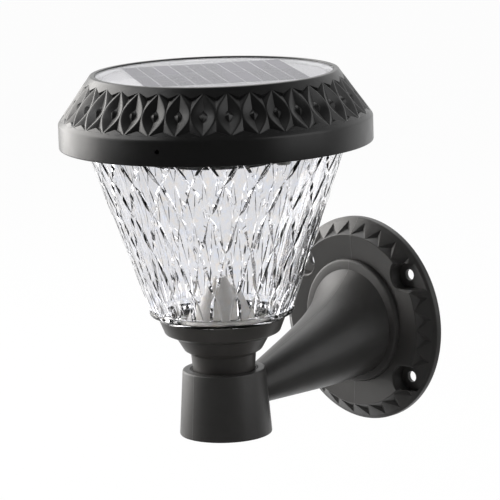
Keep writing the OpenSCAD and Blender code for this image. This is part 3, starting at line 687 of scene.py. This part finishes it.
def arm_loft(name, stations, thinner=0, straight=0):
    """Rings along the arm, each extruded from the last, moved and resized, and a straight run at the end."""
    y = stations[0]
    loft = primitive(bpy.ops.mesh.primitive_circle_add, name, vertices=arm_sides, radius=arm_r(y) - thinner,
                     fill_type="NGON", rotation=(math.pi / 2, 0, 0), location=(0, -y, arm_mid_z(y)))
    place(loft, loft.matrix_world)
    edit(loft)
    for before, after in zip(stations, stations[1:]):
        step = (0, before - after, arm_mid_z(after) - arm_mid_z(before))
        bpy.ops.mesh.extrude_region_move(TRANSFORM_OT_translate={"value": step})
        scale = (arm_r(after) - thinner) / (arm_r(before) - thinner)
        bpy.ops.transform.resize(value=(scale, 1, scale), center_override=(0, -after, arm_mid_z(after)))
    if straight:
        bpy.ops.mesh.extrude_region_move(TRANSFORM_OT_translate={"value": (0, straight, 0)})
    done(loft)
    return tidy(loft)


def pockets(name, radius, low, high, flare=0.0):
    """Four prisms with a round end, open towards the plate's sides, which may widen above pocket_edge_z."""
    parts = []
    for side in (-1, 1):
        for up in (-1, 1):
            far_x = side * (screw_x + pocket_reach)
            outline = [(far_x, up * screw_z - radius), (side * screw_x, up * screw_z - radius)]
            outline += [(side * (screw_x - radius * math.sin(math.pi * step / 24)),
                         up * screw_z - radius * math.cos(math.pi * step / 24)) for step in range(1, 24)]
            outline += [(side * screw_x, up * screw_z + radius), (far_x, up * screw_z + radius)]
            prism = chain(name, [(x, y, low) for x, y in outline], closed=True)
            edit(prism)
            bpy.ops.mesh.edge_face_add()
            turn_z = pocket_edge_z if flare else high
            bpy.ops.mesh.extrude_region_move(TRANSFORM_OT_translate={"value": (0, 0, turn_z - low)})
            if flare:
                wider = flare * (high - turn_z)
                bpy.ops.mesh.extrude_region_move(TRANSFORM_OT_translate={"value": (0, 0, high - turn_z)})
                bpy.ops.transform.resize(value=(1 + wider / (pocket_reach + radius), 1 + wider / radius, 1),
                                         center_override=(far_x, up * screw_z, high))
            done(prism)
            parts.append(tidy(prism))
    return join(*parts)


def slope_h(radius):
    return facet_foot_h + (plate_h - facet_foot_h) * (facet_out_r - radius) / (facet_out_r - facet_in_r)


def build_plate():
    """Solid plate from one sector with a facet, spun round, then hollowed and pocketed."""
    crest = facet_in_r + facet_edge
    edge = facet_out_r - facet_edge
    crown_z = root_h + root_bead_h + root_crown
    outline = rounded([(0, 0), (plate_r, 0), (plate_r, rim_t), (edge, slope_h(edge))], {2: 0.5 * MM}, 3)
    outline += [(crest, slope_h(crest))]
    outline += rounded([(facet_in_r, plate_h), (root_r, root_h), (root_r - root_lean, root_h + root_bead_h),
                        (arm_root_r - arm_overlap, crown_z), (0, crown_z)], {2: 2.6 * MM}, 8)
    sector = chain("plate", [(radius, 0, height) for radius, height in outline])
    edit(sector)
    bpy.ops.mesh.spin(steps=facet_columns, angle=TURN / facet_count, center=(0, 0, 0), axis=spin_axis)
    done(sector)
    sink_facet(sector, edge, crest)
    edit(sector)
    bpy.ops.mesh.spin(steps=facet_count, dupli=True, angle=TURN, center=(0, 0, 0), axis=spin_axis)
    done(sector)
    plate = tidy(sector, 2e-6)
    inner_r = plate_r - plate_rim_w
    hollow = lathe("hollow", [(0, -MM), (inner_r, -MM), (inner_r, facet_foot_h - shell_t + hollow_ease),
                              (facet_in_r - shell_t / 2, plate_h - shell_t), (root_r, root_h - shell_t),
                              (0, root_h - shell_t)], 96, closed=False)
    combine(hollow, pockets("blocks", pocket_r + pocket_wall, -2 * MM, cutter_h), "DIFFERENCE")
    combine(plate, hollow, "DIFFERENCE")
    pocket = pockets("pocket", pocket_r, pocket_floor, pocket_top_z, pocket_flare)
    limit = [(0, MM), (facet_out_r, MM), (facet_out_r, limit_top_z), (0, limit_top_z)]
    combine(pocket, lathe("limit", limit, 168, False, 0.4), "INTERSECT")
    combine(plate, pocket, "DIFFERENCE")
    holes = [primitive(bpy.ops.mesh.primitive_cylinder_add, "hole", vertices=40, radius=screw_hole_r,
                       depth=cutter_h, location=(side * screw_x, up * screw_z, 0))
             for side in (-1, 1) for up in (-1, 1)]
    combine(plate, join(*holes), "DIFFERENCE")
    return off_wall(plate)


def sink_facet(sector, edge, crest):
    """A triangular pit between the two edges of the slope: its point is outwards, its base inwards."""
    spread = TURN / facet_count
    points = {}
    for vertex in sector.data.vertices:
        radius = math.hypot(vertex.co.x, vertex.co.y)
        column = round(math.atan2(vertex.co.y, vertex.co.x) / spread * facet_columns)
        for name, rim in (("edge", edge), ("crest", crest)):
            if vertex.co.z > rim_t and abs(radius - rim) < 2e-6:
                points[name, column] = vertex.index
    mid_r = facet_in_r + pit_share * (facet_out_r - facet_in_r)
    pit = Vector((mid_r * math.cos(spread / 2), mid_r * math.sin(spread / 2), slope_h(mid_r) - facet_depth))
    vertices = [tuple(vertex.co) for vertex in sector.data.vertices] + [tuple(pit)]
    faces = [tuple(polygon.vertices) for polygon in sector.data.polygons
             if polygon.center.z < rim_t or not crest < math.hypot(polygon.center.x, polygon.center.y) < edge]
    deep = len(vertices) - 1
    half = facet_columns // 2
    top = points["edge", half]
    near = points["crest", 0]
    far = points["crest", facet_columns]
    faces.append((near, deep, top))
    faces.append((deep, far, top))
    for step in range(facet_columns):
        faces.append((points["crest", step + 1], deep, points["crest", step]))
    for step in range(facet_columns):
        faces.append((points["edge", step], points["edge", step + 1], near if step < half else far))
    mesh = bpy.data.meshes.new("plate")
    mesh.from_pydata(vertices, [], faces)
    sector.data = mesh


def build_bracket():
    """Plate, arm and socket in one, hollowed."""
    bracket = build_plate()
    run = arm_root_y - root_sink - arm_tip_y
    stations = [arm_end_y] + [arm_tip_y + run * step / arm_steps for step in range(arm_steps + 1)]
    arm = arm_loft("arm", stations)
    combine(bracket, arm, "UNION")
    socket_floor_z = socket_foot_z + socket_floor_t
    seat = mouth_z - mouth_depth
    outline = [(drain_r, socket_foot_z), (socket_foot_r, socket_foot_z), (socket_top_r, mouth_z),
               (mouth_recess_r, mouth_z), (mouth_recess_r, seat), (socket_bore_r, seat),
               (socket_bore_r, socket_floor_z), (drain_r, socket_floor_z)]
    socket = lathe("socket", rounded(outline, {1: 0.9 * MM, 2: 1.1 * MM, 3: 0.3 * MM}, 5), 200)
    on_lamp(socket, 0, 0)
    combine(bracket, socket, "UNION")
    run = hollow_end_y - hollow_start_y
    stations = [hollow_start_y + run * step / hollow_steps for step in range(hollow_steps + 1)]
    combine(bracket, arm_loft("hollow", stations, shell_t, hollow_straight), "DIFFERENCE")
    bracket.name = bracket.data.name = "moulded_bracket"
    return flatten_facets(smooth(bracket, 26))


def flatten_facets(bracket):
    """Flat shading in the ring of facets, so that their creases stay sharp."""
    for polygon in bracket.data.polygons:
        radius = math.hypot(polygon.center.x, polygon.center.z)
        in_ring = facet_in_r + facet_margin < radius < facet_out_r - facet_margin
        if in_ring and polygon.center.y < -MM:
            polygon.use_smooth = False
    return bracket


# Materials

class Wire:
    """A value in a material. Arithmetic on it adds Math nodes."""

    def __init__(self, finish, socket):
        self.finish = finish
        self.socket = socket

    def math(self, operation, first, second):
        return self.finish.node("ShaderNodeMath", {"operation": operation}, {0: first, 1: second})

    def __add__(self, other):
        return self.math("ADD", self, other)

    __radd__ = __add__

    def __sub__(self, other):
        return self.math("SUBTRACT", self, other)

    def __rsub__(self, other):
        return self.math("SUBTRACT", other, self)

    def __mul__(self, other):
        return self.math("MULTIPLY", self, other)

    __rmul__ = __mul__


class Finish:
    """The nodes of a material, or of the world, while they are put together."""

    def __init__(self, owner, output="ShaderNodeOutputMaterial"):
        self.owner = owner
        owner.use_nodes = True
        self.tree = owner.node_tree
        self.tree.nodes.clear()
        self.output = self.tree.nodes.new(output)

    def node(self, kind, settings=None, inputs=None, out=0):
        """Adds a node: its settings first, then the values or links of its sockets."""
        made = self.tree.nodes.new(kind)
        for key, value in (settings or {}).items():
            if key == "stops":
                ramp = made.color_ramp
                while len(ramp.elements) < len(value):
                    ramp.elements.new(1)
                for element, (position, colour) in zip(ramp.elements, value):
                    element.position = position
                    element.color = colour
            else:
                setattr(made, key, value)
        for key, value in (inputs or {}).items():
            if isinstance(value, Wire):
                self.tree.links.new(value.socket, made.inputs[key])
            else:
                made.inputs[key].default_value = value
        return Wire(self, made.outputs[out])

    def place(self):
        return self.node("ShaderNodeTexCoord", out="Object")

    def noise(self, scale, detail):
        values = {"Vector": self.place(), "Scale": scale, "Detail": detail, "Roughness": 0.5}
        return self.node("ShaderNodeTexNoise", inputs=values)

    def tones(self, factor, dark, light):
        """A colour that varies from dark to light with the middle range of factor."""
        stops = [(0.3, (*dark, 1)), (0.7, (*light, 1))]
        return self.node("ShaderNodeValToRGB", {"stops": stops}, {"Fac": factor})

    def tint(self, factor, first, second):
        """A colour that goes from first to second."""
        first, second = [value if isinstance(value, Wire) else (*value, 1) for value in (first, second)]
        return self.node("ShaderNodeMix", {"data_type": "RGBA"}, {0: factor, 6: first, 7: second}, out=2)

    def bump(self, height, strength, distance):
        values = {"Height": height, "Strength": strength, "Distance": distance}
        return self.node("ShaderNodeBump", inputs=values)

    def shader(self, **inputs):
        named = {key.replace("_", " "): value for key, value in inputs.items()}
        return self.node("ShaderNodeBsdfPrincipled", inputs=named)

    def finish(self, shader):
        self.tree.links.new(shader.socket, self.output.inputs["Surface"])
        return self.owner


def new_finish(name):
    return Finish(bpy.data.materials.new(name))


def grey(value, warm=0.0):
    return (value * (1 + warm), value, value * (1 - warm))


def moulded_plastic(name, tone, warm, gloss, parted=False):
    """Moulded plastic: faint mottling, uneven gloss, a fine grain and, if parted, a raised parting line at x = 0
    that is also painted paler, a painted highlight along its ridge.
    """
    finish = new_finish(name)
    mottle = finish.noise(45, 4)
    wear = finish.noise(160, 2)
    colour = finish.tones(mottle, grey(tone * 0.82, warm), grey(tone * 1.2, warm))
    roughness = gloss + 0.1 * (wear - 0.5)
    normal = finish.bump(finish.noise(2600, 2), 0.05, 0.0004)
    if parted:
        across = finish.node("ShaderNodeSeparateXYZ", inputs={"Vector": finish.place()}, out="X")
        fall = {"Value": across * across, "From Min": 0.0, "From Max": 6e-8, "To Min": 1.0, "To Max": 0.0}
        parting_ridge_and_highlight = finish.node("ShaderNodeMapRange", {"interpolation_type": "SMOOTHSTEP"}, fall)
        # The parting line's paler colour is a painted highlight along the ridge; its bump is the real raised line.
        colour = finish.tint(0.5 * parting_ridge_and_highlight, colour, grey(2.2 * tone))
        raised = {"Height": parting_ridge_and_highlight, "Strength": 0.5, "Distance": 0.0002, "Normal": normal}
        normal = finish.node("ShaderNodeBump", inputs=raised)
    return finish.finish(finish.shader(Base_Color=colour, Roughness=roughness, IOR=1.5, Normal=normal))


def clear_plastic():
    """Clear moulded plastic with a faint cold tint, and painted glints: blue and warm patches that stand in for
    the coloured light of dispersion.
    """
    finish = new_finish("clear_plastic")
    flow = finish.noise(30, 1)
    tint = finish.noise(240, 2)
    # The blue and warm ends of this ramp are painted glints standing in for dispersion; the grey middle is the
    # plastic's own tint.
    colour = finish.node("ShaderNodeValToRGB", {"stops": [
        (0.32, (0.84, 0.87, 0.94, 1)), (0.42, (0.885, 0.885, 0.9, 1)), (0.6, (0.885, 0.885, 0.9, 1)),
        (0.7, (0.94, 0.89, 0.83, 1))]}, {"Fac": tint})
    return finish.finish(finish.shader(
        Base_Color=colour, Roughness=0.015, IOR=1.49, Transmission_Weight=1.0,
        Normal=finish.bump(flow, 0.03, 0.002)))


def panel_resin():
    """Clear resin over the cells: it only adds its own reflection."""
    finish = new_finish("panel_resin")
    clear = finish.node("ShaderNodeBsdfTransparent", inputs={"Color": (1, 1, 1, 1)})
    gloss = finish.node("ShaderNodeBsdfGlossy", inputs={"Roughness": 0.06, "Color": (0.7, 0.7, 0.72, 1)})
    edge = finish.node("ShaderNodeFresnel", inputs={"IOR": 1.5})
    inside = finish.node("ShaderNodeNewGeometry", out="Backfacing")
    mixed = finish.node("ShaderNodeMixShader", inputs={0: edge * (1 - inside), 1: clear, 2: gloss})
    return finish.finish(mixed)


def silicon():
    """Solar cells: dark violet silicon, painted pale on the faces that don't face up, as painted light in the
    shaded gaps between the cells.
    """
    finish = new_finish("silicon")
    crystal = finish.noise(55, 2)
    colour = finish.tones(crystal, (0.075, 0.064, 0.092), (0.105, 0.092, 0.125))
    # Painted light: every face that doesn't face up is pale, which lightens the shaded gaps between the cells.
    facing = finish.node("ShaderNodeNewGeometry", out="True Normal")
    upward = finish.node("ShaderNodeSeparateXYZ", inputs={"Vector": facing}, out="Z")
    colour = finish.tint(upward, (0.75, 0.75, 0.78), colour)
    roughness = 0.4 + 0.1 * (crystal - 0.5)
    return finish.finish(finish.shader(Base_Color=colour, Roughness=roughness, Specular_IOR_Level=0.0))


def plain(name, dark, light, roughness, metallic=0.0, scale=120.0, sheen=0.5):
    """Small inner pieces: a colour with slight variation and uneven gloss."""
    finish = new_finish(name)
    cloud = finish.noise(scale, 3)
    colour = finish.tones(cloud, dark, light)
    gloss = roughness + 0.1 * (cloud - 0.5)
    return finish.finish(finish.shader(Base_Color=colour, Roughness=gloss, Metallic=metallic,
                                       Specular_IOR_Level=sheen))


def pearl():
    """Pale plastic with soft clouds and a slightly uneven skin."""
    finish = new_finish("pearl")
    cloud = finish.noise(260, 3)
    colour = finish.tones(cloud, (0.88, 0.84, 0.78), (0.98, 0.97, 0.94))
    return finish.finish(finish.shader(Base_Color=colour, Roughness=0.3 + 0.1 * (cloud - 0.5),
                                       Normal=finish.bump(cloud, 0.25, 0.001)))


materials = {
    "bracket_plastic": moulded_plastic("bracket_plastic", 0.034, 0.03, 0.4, parted=True),
    "cup_plastic": moulded_plastic("cup_plastic", 0.04, 0.06, 0.4),
    "collar_rubber": moulded_plastic("collar_rubber", 0.012, 0.0, 0.5),
    "lid_plastic": moulded_plastic("lid_plastic", 0.0095, 0.0, 0.32),
    "clear_lens": clear_plastic(),
    "pearl_plastic": pearl(),
    "white_plastic": plain("white_plastic", (0.7, 0.7, 0.69), (0.8, 0.8, 0.79), 0.3),
    "tray_plastic": plain("tray_plastic", (0.02, 0.02, 0.02), (0.04, 0.04, 0.04), 0.5),
    "seal_rubber": plain("seal_rubber", (0.008, 0.008, 0.008), (0.014, 0.014, 0.014), 0.7),
    "gasket_silicone": plain("gasket_silicone", (0.5, 0.5, 0.47), (0.6, 0.6, 0.57), 0.45),
    "screw_steel": plain("screw_steel", (0.45, 0.45, 0.44), (0.6, 0.6, 0.6), 0.32, 1.0, 700),
    "black_steel": plain("black_steel", (0.01, 0.01, 0.01), (0.02, 0.02, 0.02), 0.4, 1.0),
    "led_board_metal": plain("led_board_metal", (0.75, 0.75, 0.74), (0.85, 0.85, 0.84), 0.4),
    "led_phosphor": plain("led_phosphor", (0.75, 0.55, 0.15), (0.85, 0.68, 0.25), 0.5),
    "board_green": plain("board_green", (0.02, 0.12, 0.05), (0.04, 0.2, 0.09), 0.35),
    "component_black": plain("component_black", (0.02, 0.02, 0.02), (0.05, 0.05, 0.05), 0.45),
    "cell_wrap": plain("cell_wrap", (0.04, 0.12, 0.34), (0.06, 0.17, 0.45), 0.3),
    "contact_nickel": plain("contact_nickel", (0.5, 0.48, 0.44), (0.66, 0.64, 0.6), 0.3, 1.0),
    "switch_grey": plain("switch_grey", (0.2, 0.2, 0.19), (0.28, 0.28, 0.27), 0.4),
    "button_silver": plain("button_silver", (0.16, 0.16, 0.155), (0.24, 0.24, 0.235), 0.35, 0.3),
    "panel_white": plain("panel_white", (0.86, 0.86, 0.88), (0.9, 0.9, 0.92), 0.35, sheen=0.0),
    "cell_silicon": silicon(),
    "ribbon_tin": plain("ribbon_tin", (0.55, 0.55, 0.57), (0.66, 0.66, 0.68), 0.35, 0.8),
    "panel_clear": panel_resin(),
    "lead_red": plain("lead_red", (0.35, 0.02, 0.02), (0.5, 0.04, 0.04), 0.4),
}

for subpart in frame["record"]["subparts"]:
    node = frame["nodes"][subpart["node"]]
    node.data.materials.clear()
    node.data.materials.append(materials[subpart["material_slot"]])


def dress(piece, body, node, slot):
    """Gives a modelled piece its finish and its body, and lets it stand for its node."""
    piece.data.materials.clear()
    piece.data.materials.append(materials[slot])
    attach(piece, body)
    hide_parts(node)


dress(build_lid(), "head", "lid_shell", "lid_plastic")
dress(build_lens(), "head", "lens", "clear_lens")
dress(build_cup(), "head", "base_cup", "cup_plastic")
dress(build_bracket(), "bracket", "wall_bracket", "bracket_plastic")


# Camera, floor and light

floor_size = 30
floor_z = -0.16
floor_clean = 0.97
shade_start = -0.35
shade_end = 0.6
dark_side = 0.04
bright_side = 1.05
clear_share = 0.7
ambient_share = 0.2
light_target = Vector((0, -0.07, 0.04))


def build_camera():
    """Camera at the photograph's place."""
    back = Vector((math.sin(camera_azimuth) * math.cos(camera_elevation),
                   -math.cos(camera_azimuth) * math.cos(camera_elevation), math.sin(camera_elevation)))
    level_right = Vector((math.cos(camera_azimuth), math.sin(camera_azimuth), 0))
    level_up = back.cross(level_right)
    right = level_right * math.cos(camera_roll) + level_up * math.sin(camera_roll)
    up = level_up * math.cos(camera_roll) - level_right * math.sin(camera_roll)
    aim = Vector((0, lamp_axis.y, lid_z)) - right * camera_shift_right - up * camera_shift_up
    eye = aim + back * camera_distance
    data = bpy.data.cameras.new("camera")
    data.lens = camera_lens
    data.sensor_width = camera_sensor
    data.clip_start = 0.01
    data.clip_end = 100
    camera = bpy.data.objects.new("camera", data)
    bpy.context.scene.collection.objects.link(camera)
    camera.matrix_world = Matrix(((right.x, up.x, back.x, eye.x), (right.y, up.y, back.y, eye.y),
                                  (right.z, up.z, back.z, eye.z), (0, 0, 0, 1)))
    bpy.context.scene.camera = camera
    return back, level_right


def lamp(name, place, size, power, colour=(1, 1, 1)):
    """A soft rectangular lamp that faces the object."""
    data = bpy.data.lights.new(name, "AREA")
    data.shape = "RECTANGLE"
    data.size, data.size_y = size
    data.energy = power
    data.color = colour
    light = bpy.data.objects.new(name, data)
    bpy.context.scene.collection.objects.link(light)
    light.location = place
    light.rotation_euler = (light_target - place).to_track_quat("-Z", "Y").to_euler()


def studio_shade(finish, direction, axis):
    """Dark on one side of the studio and bright on the side of axis."""
    both = {0: direction, 1: tuple(axis)}
    along = finish.node("ShaderNodeVectorMath", {"operation": "DOT_PRODUCT"}, both, out="Value")
    return finish.node("ShaderNodeMapRange", {"interpolation_type": "SMOOTHSTEP"},
                       {"Value": along, "From Min": shade_start, "From Max": shade_end,
                        "To Min": dark_side, "To Max": bright_side})


def build_floor(back):
    """Pale floor, white but for its shadow. In gloss it carries the studio's dark and bright sides."""
    floor = primitive(bpy.ops.mesh.primitive_plane_add, "floor", size=floor_size, location=(0, 0, floor_z))
    finish = new_finish("floor")
    paper = finish.node("ShaderNodeBsdfDiffuse", inputs={"Color": (0.9, 0.9, 0.9, 1)})
    glow = finish.node("ShaderNodeEmission", inputs={"Color": (1, 1, 1, 1), "Strength": 1.0})
    camera_ray = finish.node("ShaderNodeLightPath", out="Is Camera Ray")
    clear_ray = finish.node("ShaderNodeLightPath", out="Is Transmission Ray")
    gloss_ray = finish.node("ShaderNodeLightPath", out="Is Glossy Ray")
    direction = finish.node("ShaderNodeVectorMath", {"operation": "NORMALIZE"}, {0: finish.place()})
    mirrored = finish.node("ShaderNodeEmission", inputs={"Strength": studio_shade(finish, direction, -back)})
    seen = floor_clean * (camera_ray + clear_ray)
    mixed = finish.node("ShaderNodeMixShader", inputs={0: seen, 1: paper, 2: glow})
    mixed = finish.node("ShaderNodeMixShader", inputs={0: gloss_ray, 1: mixed, 2: mirrored})
    floor.data.materials.append(finish.finish(mixed))


def build_world(back):
    """White for the camera. For gloss it is bright behind the object and dark before it."""
    world = bpy.data.worlds.new("studio")
    bpy.context.scene.world = world
    finish = Finish(world, "ShaderNodeOutputWorld")
    direction = finish.node("ShaderNodeTexCoord", out="Generated")
    shade = studio_shade(finish, direction, -back)
    camera_ray = finish.node("ShaderNodeLightPath", out="Is Camera Ray")
    clear_ray = finish.node("ShaderNodeLightPath", out="Is Transmission Ray")
    gloss_ray = finish.node("ShaderNodeLightPath", out="Is Glossy Ray")
    through = clear_share + (1 - clear_share) * shade
    strength = camera_ray + clear_ray * through + gloss_ray * shade
    ambient = ambient_share * (1 - camera_ray) * (1 - clear_ray) * (1 - gloss_ray)
    values = {"Color": (1, 1, 1, 1), "Strength": strength + ambient}
    background = finish.node("ShaderNodeBackground", inputs=values)
    finish.finish(background)


back, level_right = build_camera()
build_floor(back)
build_world(back)
warm_white = (1, 0.975, 0.945)
lamp("left_softbox", -level_right * 1.02 - back * 0.5 + Vector((0, 0, 0.42)), (1.2, 1.25), 20, warm_white)
lamp("left_fill", -level_right * 1.12 + back * 0.28 + Vector((0, 0, 0.42)), (0.47, 1.2), 2.1)
lamp("upper_left_softbox", -level_right * 0.76 + back * 0.14 + Vector((0, -0.07, 1.0)), (0.6, 0.45), 1.4)
lamp("right_softbox", level_right * 1.05 + back * 0.6 + Vector((0, 0, 0.35)), (1.0, 1.2), 5)
lamp("top_softbox", Vector((0, -0.1, 1.2)) - back * 0.6, (0.8, 0.8), 5)

bpy.context.scene.view_settings.view_transform = "Standard"
